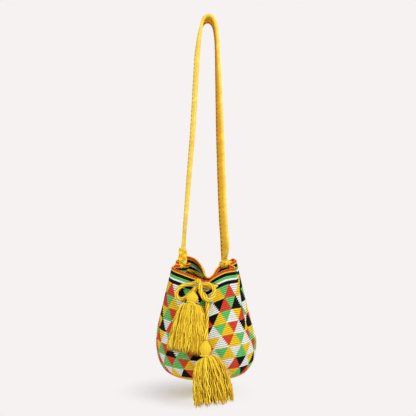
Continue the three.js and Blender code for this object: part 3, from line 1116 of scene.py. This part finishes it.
@dataclass
class Knot(Lashing):
    """A lashing wound round and round, with more loops beside it over the rim."""

    yarn: float = 1.9
    turns: int = 5
    loops: int = 4
    loop_at: Point = (46.0, 4.0, 2.5)
    loop_size: float = 5.6
    core_inset: float = 3.0

    def build(self) -> list[bpy.types.Object]:
        """Makes the windings and the loops.

        Returns:
            The yarns and the core.
        """
        share = np.linspace(0, 1, 90)
        low, high = self.stations[0][0] + self.yarn, self.stations[-1][0] - self.yarn
        paths, tones = [], []
        for number in range(self.turns):
            middle = low + (high - low) * (number + 0.5) / self.turns
            tilt = 0.32 + 0.1 * math.sin(2.4 * number)
            angle = TURN * (share + 0.13 * number)
            wide, deep = self._size(np.full(len(share), middle))
            x = (wide - 0.9 * self.yarn) * np.cos(angle)
            y = (deep - 0.9 * self.yarn) * np.sin(angle)
            paths.append(self._place(x, y, middle + tilt * x + 0.9 * np.sin(2 * angle)))
            tones.append(0.94 + 0.05 * (number % 3))
        for number in range(self.loops):
            angle = TURN * (share + 0.2 * number)
            beside = (number - (self.loops - 1) / 2) * 1.7 * self.yarn
            x = self.loop_at[0] - self.at[0] + beside + 0.25 * self.loop_size * np.cos(angle)
            y = self.loop_at[1] - self.at[1] + self.loop_size * np.cos(angle) + 0.2 * beside
            paths.append(self._place(x, y, self.loop_at[2] + self.loop_size * np.sin(angle) + 0.15 * beside))
            tones.append(0.98 - 0.04 * (number % 2))
        radii = np.full(len(paths), self.yarn * MM)
        yarns = spin_yarns(f"{self.name}_windings", np.array(paths), radii, np.array(tones), GOLD_STRANDS, 8)
        return self._finish(yarns, self.core_inset)


# The bag.

class Side(Enum):
    """The two faces of the wall."""

    OUTSIDE = 1
    INSIDE = -1


@dataclass(frozen=True)
class Level:
    """One ring of points of the wall: rows below the rim, offset from the wall's middle, rise and shade."""

    rows: float
    offset: float
    rise: float
    shade: float
    side: Side


@dataclass
class BagBody:
    """The crocheted body: base, wall and striped rim, with the folds of the drawn mouth.

    Places on it are a turn, 0 to 1 round from the front and rising to the right, and how far down, with 0 at
    the rim, 1 at the belly, 2 at the edge of the flat base and 3 at its middle. Stripes are a yarn and the
    row's height, in millimetres.
    """

    height: float = 237 * MM
    belly_radius: float = 107.5 * MM
    belly_centre_x: float = -3.6 * MM
    belly_rise: float = 74 * MM
    base_flat: float = 60 * MM
    base_roundness: float = 2.3
    wall: float = 4 * MM
    swell_power: float = 1.33
    swell_sway: float = 0.42
    pleat_turn: float = 0.15
    pleat_lean: float = 0.045
    pleat_width: float = 0.022
    pleat_hold: float = 0.2
    fold_lap: float = 6.0 * MM
    fold_reach: float = 0.016
    belly_ease: float = 0.08
    stitches: int = 126
    bands: int = 8
    band_rows: int = 6
    base_rows: int = 14
    edge_height: float = 4.0 * MM
    level_rows: int = 48
    level_down: float = 1.64
    row_spread: float = 0.085
    relief: float = 0.8 * MM
    hollow_shade: float = 0.28
    eyelet_room: float = 0.6 * MM
    eyelet_open: float = 0.86
    eyelets_above: float = -605 * MM
    rim: tuple[Point, ...] = (
        (-1.7, -58, -28.3), (9.3, -58, -20.4), (20.4, -56, -13.4), (34.3, -50, -7.2), (47.1, -42, -4.9),
        (57.2, -30, -4.2), (56.8, -22, -1), (48, -14, 1.6), (47.8, -5, 4.2), (58, 3, 8.8), (60.6, 13, 11.2),
        (55.4, 24, 12.4), (46.1, 27, 6.6), (35.7, 20, -1.1), (25, 9, -2.7), (18, -2, -8.8),
        (9.4, -13, -21.4), (0.4, -18, -25.9), (-7, -13, -20.3), (-10.6, 0, -9.4), (-18.2, 16, 2.5),
        (-31.4, 31, 13),
        (-47.4, 40, 16.9), (-62.1, 42, 13.6), (-69.7, 35, 7.8), (-63.8, 27, 4.3), (-50.2, 23, 2.9),
        (-39.3, 14, 2.2), (-46.4, 5, 1.2), (-59.4, 0, 0.3), (-71.2, -6, 1.2), (-76.6, -18, -1.8),
        (-71.2, -30, -5.5), (-53.5, -42, -11.7), (-24, -54, -21.5),
    )
    outer_stripes: tuple[tuple[Yarn, float], ...] = (
        (Yarn.RED, 3.3), (Yarn.YELLOW, 2.8), (Yarn.BLACK, 3.4), (Yarn.BLACK, 3.3), (Yarn.GREEN, 2.9),
        (Yarn.GREEN, 2.8), (Yarn.WHITE, 4.8), (Yarn.BLACK, 3.5), (Yarn.BLACK, 3.5),
    )
    # Inside, the yellow row is orange: a darker copy of yellow, painted as the shade inside the mouth.
    inner_stripes: tuple[Yarn, ...] = (Yarn.RED, Yarn.ORANGE)
    gone: np.ndarray = field(init=False)

    def __post_init__(self) -> None:
        """Lays the rim and measures the wall."""
        self.rim_course = Course(np.array(self.rim) * MM, closed=True)
        self.columns = 2 * self.stitches
        self.stripe_rows = len(self.outer_stripes)
        self.pattern_rows = self.bands * self.band_rows
        self.edge_row = self.stripe_rows + self.pattern_rows
        self.total_rows = self.edge_row + 1 + self.base_rows
        self._measure_rows()

    def _swell(self, turn: np.ndarray, drop: np.ndarray) -> np.ndarray:
        """How far the wall has swelled from the rim's outline to the belly's.

        Args:
            turn: Places round the bag.
            drop: Places down it, 0 to 1.

        Returns:
            Shares from 0 at the rim to 1 at the belly.
        """
        pleat = self.pleat_hold * bell(self._past_fold(turn, drop), self.pleat_width)
        power = self.swell_power - self.swell_sway * np.sin(TURN * turn) - pleat
        left = np.clip(1 - drop, 0, 1)
        return 1 - left ** power * (1 - np.exp(-left / self.belly_ease))

    def _past_fold(self, turn: np.ndarray, drop: np.ndarray) -> np.ndarray:
        """How far round from the leaning line of the right-hand fold a place is."""
        return turn % 1 - self.pleat_turn - self.pleat_lean * np.clip(drop, 0, 1)

    def _lap(self, turn: np.ndarray, down: np.ndarray) -> np.ndarray:
        """How far the front of the fold stands out over its back.

        Args:
            turn: Places round the bag.
            down: Places down it.

        Returns:
            Distances outwards, in metres.
        """
        past = self._past_fold(turn, down)
        fade = self.fold_lap * np.clip(1.0 - down, 0, 1) ** 0.5 * np.clip(down * 8, 0, 1)
        side = np.where(past < 0, 0.5, -1.0)
        return side * fade * np.exp(-np.abs(past) / self.fold_reach)

    def middle(self, turn: np.ndarray, down: np.ndarray) -> np.ndarray:
        """Points in the middle of the wall.

        Args:
            turn: Places round the bag.
            down: Places down it.

        Returns:
            The points, from the level of the mouth's corners.
        """
        turn = turn % 1
        angle = -math.pi / 2 + TURN * turn
        belly_z = self.belly_rise - self.height
        floor_z = self.wall / 2 - self.height
        out = np.stack([np.cos(angle), np.sin(angle), 0 * angle], axis=-1)
        centre = np.array([self.belly_centre_x, 0, 0])
        drop = np.clip(down, 0, 1)
        rim = self.rim_course.along(turn)
        w = self._swell(turn, drop)[:, None]
        upper = rim + (centre + self.belly_radius * out - rim) * w
        upper[:, 2] = rim[:, 2] + (belly_z - rim[:, 2]) * drop
        bend = np.clip(down - 1, 0, 1) * math.pi / 2
        power = 2 / self.base_roundness
        spread = self.belly_radius - self.base_flat
        radius = self.base_flat + spread * np.maximum(np.cos(bend), 0) ** power
        radius = np.where(down >= 2, self.base_flat * np.clip(3 - down, 0, 1), radius)
        lower = centre + radius[:, None] * out
        lower[:, 2] = belly_z - (belly_z - floor_z) * np.sin(bend) ** power
        return np.where((down <= 1)[:, None], upper, lower)

    def outward(self, turn: np.ndarray, down: np.ndarray) -> np.ndarray:
        """The wall's outward directions.

        Args:
            turn: Places round the bag.
            down: Places down it.

        Returns:
            One direction a row.
        """
        step = 0.004
        low = np.minimum(down, 1.996)
        along = self.middle(turn + step, low) - self.middle(turn - step, low)
        across = self.middle(turn, np.minimum(low + step, 2)) - self.middle(turn, np.maximum(low - step, 0))
        normal = unit(np.cross(across, along))
        flat = np.clip((down - 1.97) / 0.03, 0, 1)[:, None]
        return unit(normal * (1 - flat) + np.array([0, 0, -1.0]) * flat)

    def _measure_rows(self) -> None:
        """Finds how far down each row's edge lies, all round the bag, from lengths along the wall."""
        turns = np.arange(self.stitches) / self.stitches
        downs = np.linspace(0, 3, 901)
        rows = np.arange(self.total_rows + 1)
        table = np.zeros((self.stitches, len(rows)))
        stripes = running(np.array([size for _, size in self.outer_stripes])) * MM
        for k, turn in enumerate(turns):
            points = self.middle(np.full(len(downs), turn), downs)
            run = running(np.linalg.norm(np.diff(points, axis=0), axis=1))
            share = np.arange(1, self.pattern_rows + 1) / self.level_rows
            level = np.interp(self.level_down, downs, run) - stripes[-1]
            pattern = stripes[-1] + level * share * (1 + self.row_spread * (1 - share))
            edge = pattern[-1] + self.edge_height
            base = edge + (run[-1] - edge) * np.arange(1, self.base_rows + 1) / self.base_rows
            table[k] = np.interp(np.concatenate([stripes, pattern, [edge], base]), run, downs)
        self.row_downs = table

    def _down(self, turn: np.ndarray, rows: np.ndarray) -> np.ndarray:
        """Turns rows below the rim into places down the wall.

        Args:
            turn: Places round the bag.
            rows: Rows below the rim, whole or part.

        Returns:
            Places down the bag.
        """
        place = (turn % 1) * self.stitches
        k = np.floor(place).astype(int)
        f = place - k
        r = np.minimum(np.floor(rows).astype(int), self.total_rows - 1)
        g = rows - r
        a, b = k % self.stitches, (k + 1) % self.stitches
        first = self.row_downs[a, r] * (1 - g) + self.row_downs[a, r + 1] * g
        second = self.row_downs[b, r] * (1 - g) + self.row_downs[b, r + 1] * g
        return first * (1 - f) + second * f

    def _levels(self) -> list[Level]:
        """All rings from the middle of the base up the outside, over the rim and down the inside.

        Returns:
            The rings, in order.
        """
        half = self.wall / 2
        outside = []
        for row in range(self.total_rows):
            # Painted shade: the hollow between rows is darkened to hollow_shade.
            outside.append(Level(row, half - self.relief, 0, self.hollow_shade, Side.OUTSIDE))
            steps = (0.26, 0.72) if row < self.edge_row + 1 else (0.5,)
            outside += [Level(row + f, half + self.relief * 0.6, 0, 1.0, Side.OUTSIDE) for f in steps]
        # The base's middle ring is painted 10% darker.
        outside.append(Level(self.total_rows, half, 0, 0.9, Side.OUTSIDE))
        lip = [Level(0, half * math.cos(a), half * math.sin(a), 1.0,
                     Side.OUTSIDE if a < 1.3 else Side.INSIDE)
               for a in (math.pi / 4, math.pi / 2, 3 * math.pi / 4)]
        halved = self.stripe_rows + self.band_rows
        inner_rows = [*np.arange(0, halved, 0.5), *range(halved, self.total_rows + 1)]
        inside = []
        for row in inner_rows:
            low = row % 2 > 0.9
            # Painted shade: every other inside ring is set back and darkened by 15%.
            inside.append(Level(float(row), -half + self.relief * low, 0, 1.0 - 0.15 * low, Side.INSIDE))
        return [*reversed(outside), *lip, *inside]

    def build(self, cord: Drawstring) -> bpy.types.Object:
        """Makes the body as one closed shell with its eyelets.

        Args:
            cord: The cord that the eyelets fit.

        Returns:
            The body.
        """
        levels = self._levels()
        rows = np.array([level.rows for level in levels])
        offset = np.array([level.offset for level in levels])
        rise = np.array([level.rise for level in levels])
        shades = np.array([level.shade for level in levels])
        side = np.array([level.side.value for level in levels])
        chance = np.random.default_rng(3)
        tints = 1 + 0.07 * chance.normal(size=(self.columns + 1, len(levels)))
        eyelet = cord.diameter / 2 + self.eyelet_room
        thread = cord.course.along(np.linspace(0, 1, 900))

        def drape(column: np.ndarray, level: np.ndarray) -> Skin:
            """Works the grid round the bag: stitches lean, so a column moves back by a half stitch a row.

            Args:
                column: Each point's number round the bag, two to a stitch.
                level: The number of its ring.

            Returns:
                The bag's skin.
            """
            turn = (column - rows[level]) / self.columns
            down = self._down(turn, rows[level])
            stitch = np.where((column % 2 == 0) & (side[level] > 0), -0.22 * MM, 0.12 * MM)
            points = self.middle(turn, down)
            out = offset[level] + stitch + self._lap(turn, down)
            points = points + self.outward(turn, down) * out[:, None]
            points[:, 2] += rise[level] - STRAP_DROP
            self.gone, points = self._open_eyelets(points, thread, eyelet)
            uv = np.stack([column / self.columns, rows[level] / 64 + 0 * down], axis=1)
            # Painted shade: the edge column of each stitch is 10% darker.
            shade = shades[level] * np.where(column % 2 == 0, 0.9, 1.0)
            return Skin(points, uv, shade, np.clip(tints[column % self.columns, level], 0.8, 1.2))

        def colours(column: int, level: int) -> tuple:
            """The yarn of one face.

            Args:
                column: The face's number round the bag.
                level: The number of its first ring.

            Returns:
                The face's colour.
            """
            if rise[level] > 0 and rise[level + 1] > 0:
                return Yarn.YELLOW.value
            row = int(min(rows[level], rows[level + 1]) + 1e-6)
            return self._yarn(column // 2, row, side[level] < 0 or side[level + 1] < 0).value

        bag = work_grid("bag_crochet", self.columns, len(levels) - 1, drape, CROCHET, colours,
                        away=lambda _: self.gone)
        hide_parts("bag_body")
        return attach(bag, BODY)

    def _open_eyelets(self, points: np.ndarray, thread: np.ndarray,
                      eyelet: float) -> tuple[np.ndarray, np.ndarray]:
        """Moves the wall's points out of the cord's way.

        Args:
            points: The wall's points.
            thread: Points along the cord, close together.
            eyelet: The eyelet's radius.

        Returns:
            Which points lay well inside an eyelet, and all points moved.
        """
        points = points.copy()
        gone = np.zeros(len(points), bool)
        near = np.where(points[:, 2] > self.eyelets_above)[0]
        batch = 4000
        for start in range(0, len(near), batch):
            some = near[start:start + batch]
            apart = points[some][:, None, :] - thread[None, :, :]
            far = np.linalg.norm(apart, axis=2)
            best = far.argmin(axis=1)
            away = far[np.arange(len(some)), best]
            hit = away < eyelet
            picked = some[hit]
            gone[picked] = away[hit] < eyelet * self.eyelet_open
            direction = apart[np.arange(len(some)), best][hit] / np.maximum(away[hit], 1e-6)[:, None]
            points[picked] = thread[best[hit]] + direction * eyelet
        return gone, points

    def _yarn(self, stitch: int, row: int, inside: bool) -> Yarn:
        """The yarn of a stitch.

        Args:
            stitch: Its number round the bag, along the lean of the stitches.
            row: Its row below the rim.
            inside: Whether it is on the inside.

        Returns:
            The yarn.
        """
        if row < self.stripe_rows:
            if inside and row < len(self.inner_stripes):
                return self.inner_stripes[row]
            return self.outer_stripes[row][0]
        if row >= self.edge_row:
            return Yarn.ORANGE if row == self.edge_row else Yarn.GOLD
        band, depth = divmod(row - self.stripe_rows, self.band_rows)
        period, place = divmod(stitch - PATTERN.first_stitch, self.band_rows)
        yarns = PATTERN.rows(self.bands, self.stitches // self.band_rows)[band]
        return yarns[(2 * period + (place > depth)) % len(yarns)]


@dataclass(frozen=True)
class TrianglePattern:
    """Bands of upright and hanging triangles in turn, scattered in five yarns by a seeded draw.

    The photograph gives the triangles' size and slant. It doesn't give their yarns, which the draw chooses.
    """

    first_stitch: int = 10
    seed: int = 5
    yarns: tuple[Yarn, ...] = (Yarn.BLACK, Yarn.WHITE, Yarn.GREEN, Yarn.RED, Yarn.YELLOW)

    @cache
    def rows(self, bands: int, periods: int) -> list[list[Yarn]]:
        """Draws each triangle's yarn, unlike those of the two before it and of the one on its base.

        Args:
            bands: How many bands there are.
            periods: How many upright triangles each band has.

        Returns:
            Each band's yarns, with upright and hanging triangles in turn.
        """
        chance = random.Random(self.seed)
        rows: list[list[Yarn]] = []
        triangles = 2 * periods
        for band in range(bands):
            row: list[Yarn] = []
            for place in range(triangles):
                taken = set(row[-2:])
                if place == triangles - 1:
                    taken.add(row[0])
                hanging = place % 2 == 1
                if band and hanging:
                    taken.add(rows[-1][place - 1])
                row.append(chance.choice([yarn for yarn in self.yarns if yarn not in taken]))
            rows.append(row)
        return rows


PATTERN = TrianglePattern()


# The studio.

@dataclass(frozen=True)
class Lamp:
    """A soft square lamp that points at a place, with its size in metres and its power in watts."""

    name: str
    at: Point
    towards: Point
    size: float
    power: float

    def hang(self) -> None:
        """Adds the lamp to the scene."""
        data = bpy.data.lights.new(self.name, "AREA")
        data.shape = "SQUARE"
        data.size = self.size
        data.energy = self.power
        lamp = bpy.data.objects.new(self.name, data)
        lamp.location = self.at
        lamp.rotation_euler = (Vector(self.towards) - Vector(self.at)).to_track_quat("-Z", "Y").to_euler()
        bpy.context.scene.collection.objects.link(lamp)


@dataclass
class Studio:
    """Pale floor and backdrop, soft lamps, and the camera at the photograph's angle."""

    floor_z: float = -0.8215
    eye: Point = (0.0, -1.56, -0.413)
    focal_px: float = 709.0
    frame_px: float = 416.0
    backdrop: Colour = linear(246, 242, 241)
    floor: Colour = linear(238, 239, 246)
    floor_radius: float = 6.0
    shadow_middle: Point = (-0.052, 0.02, 0.0)
    shadow_reach: float = 0.17
    shadow_glow: float = 0.22
    world_light: float = 0.5
    sensor_mm: float = 36.0
    key: Lamp = Lamp("key", (1.9, -1.5, 1.1), (0.0, 0.0, -0.55), 1.0, 58.0)
    fill: Lamp = Lamp("fill", (-2.0, -1.2, 0.5), (0.0, 0.0, -0.5), 1.4, 24.0)

    def build(self) -> None:
        """Makes the floor, world, lamps and camera."""
        self._camera()
        self._world()
        self._floor()
        self.key.hang()
        self.fill.hang()

    def _camera(self) -> None:
        """Adds the camera."""
        data = bpy.data.cameras.new("camera")
        data.sensor_width = self.sensor_mm
        data.lens = self.focal_px / self.frame_px * self.sensor_mm
        camera = bpy.data.objects.new("camera", data)
        camera.location = self.eye
        camera.rotation_euler = (math.pi / 2, 0.0, 0.0)
        bpy.context.scene.collection.objects.link(camera)
        bpy.context.scene.camera = camera

    def _world(self) -> None:
        """Lights the scene all round and shows the backdrop's colour to the camera and in gloss."""
        world = bpy.data.worlds.new("studio")
        bpy.context.scene.world = world
        graph = Graph(world)
        seen = self._seen(graph)
        lit = graph.node("ShaderNodeBackground", {}, {"Color": (1.0, 1.0, 1.0, 1.0),
                                                       "Strength": self.world_light})
        shown = graph.node("ShaderNodeBackground", {}, {"Color": self.backdrop, "Strength": 1.0})
        both = graph.node("ShaderNodeMixShader", {}, {0: seen, 1: lit, 2: shown})
        graph.node("ShaderNodeOutputWorld", {}, {"Surface": both})

    @staticmethod
    def _seen(graph: Graph) -> Signal:
        """Whether the ray comes from the camera, a gloss or a clear material.

        Args:
            graph: The world's tree.

        Returns:
            1 for such a ray and 0 for others.
        """
        ray = graph.node("ShaderNodeLightPath", output="Is Camera Ray")
        gloss = graph.node("ShaderNodeLightPath", output="Is Glossy Ray")
        clear = graph.node("ShaderNodeLightPath", output="Is Transmission Ray")
        return (ray + gloss + clear).at_most(1.0)

    def _floor(self) -> None:
        """Makes the floor, which takes the shadow near the bag and is the backdrop's colour further out."""
        bm = bmesh.new()
        bmesh.ops.create_circle(bm, cap_ends=True, radius=self.floor_radius, segments=96)
        bmesh.ops.translate(bm, verts=bm.verts, vec=(0.0, 0.0, self.floor_z))
        mesh = bpy.data.meshes.new("floor")
        bm.to_mesh(mesh)
        bm.free()
        made = bpy.data.materials.new("floor")
        graph = Graph(made)
        at = graph.node("ShaderNodeTexCoord", output="Object")
        beside = graph.node("ShaderNodeVectorMath", {"operation": "SUBTRACT"},
                            {0: at, 1: self.shadow_middle})
        flat = graph.node("ShaderNodeVectorMath", {"operation": "MULTIPLY"}, {0: beside, 1: (1.0, 1.0, 0.0)})
        away = graph.node("ShaderNodeVectorMath", {"operation": "LENGTH"}, {0: flat}, output="Value")
        fade = graph.node("ShaderNodeMapRange", {"interpolation_type": "SMOOTHSTEP"},
                          {"Value": away, "From Min": 0.0, "From Max": self.shadow_reach,
                           "To Min": self.shadow_glow})
        matt = graph.node("ShaderNodeBsdfDiffuse", {}, {"Color": self.floor})
        glow = graph.node("ShaderNodeEmission", {}, {"Color": self.backdrop, "Strength": 1.0})
        both = graph.node("ShaderNodeMixShader", {}, {0: fade, 1: matt, 2: glow})
        graph.node("ShaderNodeOutputMaterial", {}, {"Surface": both})
        mesh.materials.append(made)
        floor = bpy.data.objects.new("floor", mesh)
        bpy.context.scene.collection.objects.link(floor)


UPPER_TASSEL = Tassel(
    "upper", (-0.39, -0.92, 0.0), 12.4 * MM, 24 * MM, (-50 * MM, -112 * MM, -170.5 * MM), 8.0,
    ((0, 8.2, 8.2), (0.015, 14, 9.5), (0.04, 19, 10), (0.12, 25.5, 10), (0.33, 31.5, 10), (0.54, 35, 10),
     (0.75, 40, 9.5), (1, 43.5, 9), (1.06, 43.5, 8)),
    seed=11, lean=(-0.24, -0.36, -0.9), first_fall=(-0.12, -0.3, -0.95), hem_slope=0.005)
LOWER_TASSEL = Tassel(
    "lower", (0.0, -1.0, 0.0), 11.6 * MM, 29 * MM, (11.5 * MM, -131 * MM, -268 * MM), 0.0,
    ((0, 8.2, 8.2), (0.015, 12, 11), (0.043, 15.5, 13), (0.125, 21.5, 16), (0.29, 28, 19),
     (0.49, 34, 21.5), (0.7, 37.5, 23), (0.905, 39.5, 24), (1.08, 39.5, 23)),
    seed=23, lean=(-0.04, -0.2, -0.98), first_fall=(0.3, -0.2, -0.93), shoulder=(4.0, 0.0, 0.0))
LEFT_LASHING = Plait(
    "strap_lashing_left", (-55.4, 2.0),
    ((-6, 3.6, 4.5), (-2, 5.6, 7), (5, 7.4, 8.2), (14, 9, 9), (24, 9.6, 9.4), (33, 8.6, 8.6),
     (39, 7.6, 7.2)))
RIGHT_LASHING = Knot(
    "strap_lashing_right", (35.4, 19.0),
    ((-8, 5, 5), (-5, 8.6, 8.4), (-1, 11, 10.6), (4, 11.4, 11), (9, 10, 9.6), (11.5, 7.4, 7.2)))


def main() -> None:
    """Builds the studio and the bag, and reports each piece."""
    logging.basicConfig(level=logging.INFO, format="%(name)s: %(message)s")
    bpy.context.scene.view_settings.view_transform = "Standard"
    Studio().build()
    drawstring = Drawstring()
    cord = drawstring.build()
    hanging = [*UPPER_TASSEL.pieces(drawstring), *LOWER_TASSEL.pieces(drawstring)]
    drawstring.declare()
    strap = ShoulderStrap().build()
    lashings = [*LEFT_LASHING.build(), *RIGHT_LASHING.build()]
    bag = BagBody().build(drawstring)
    for piece in (cord, *hanging, strap, *lashings, bag):
        triangles = sum(len(face.vertices) - 2 for face in piece.data.polygons)
        LOG.info("%s has %d triangles", piece.name, triangles)


if __name__ == "__main__":
    main()
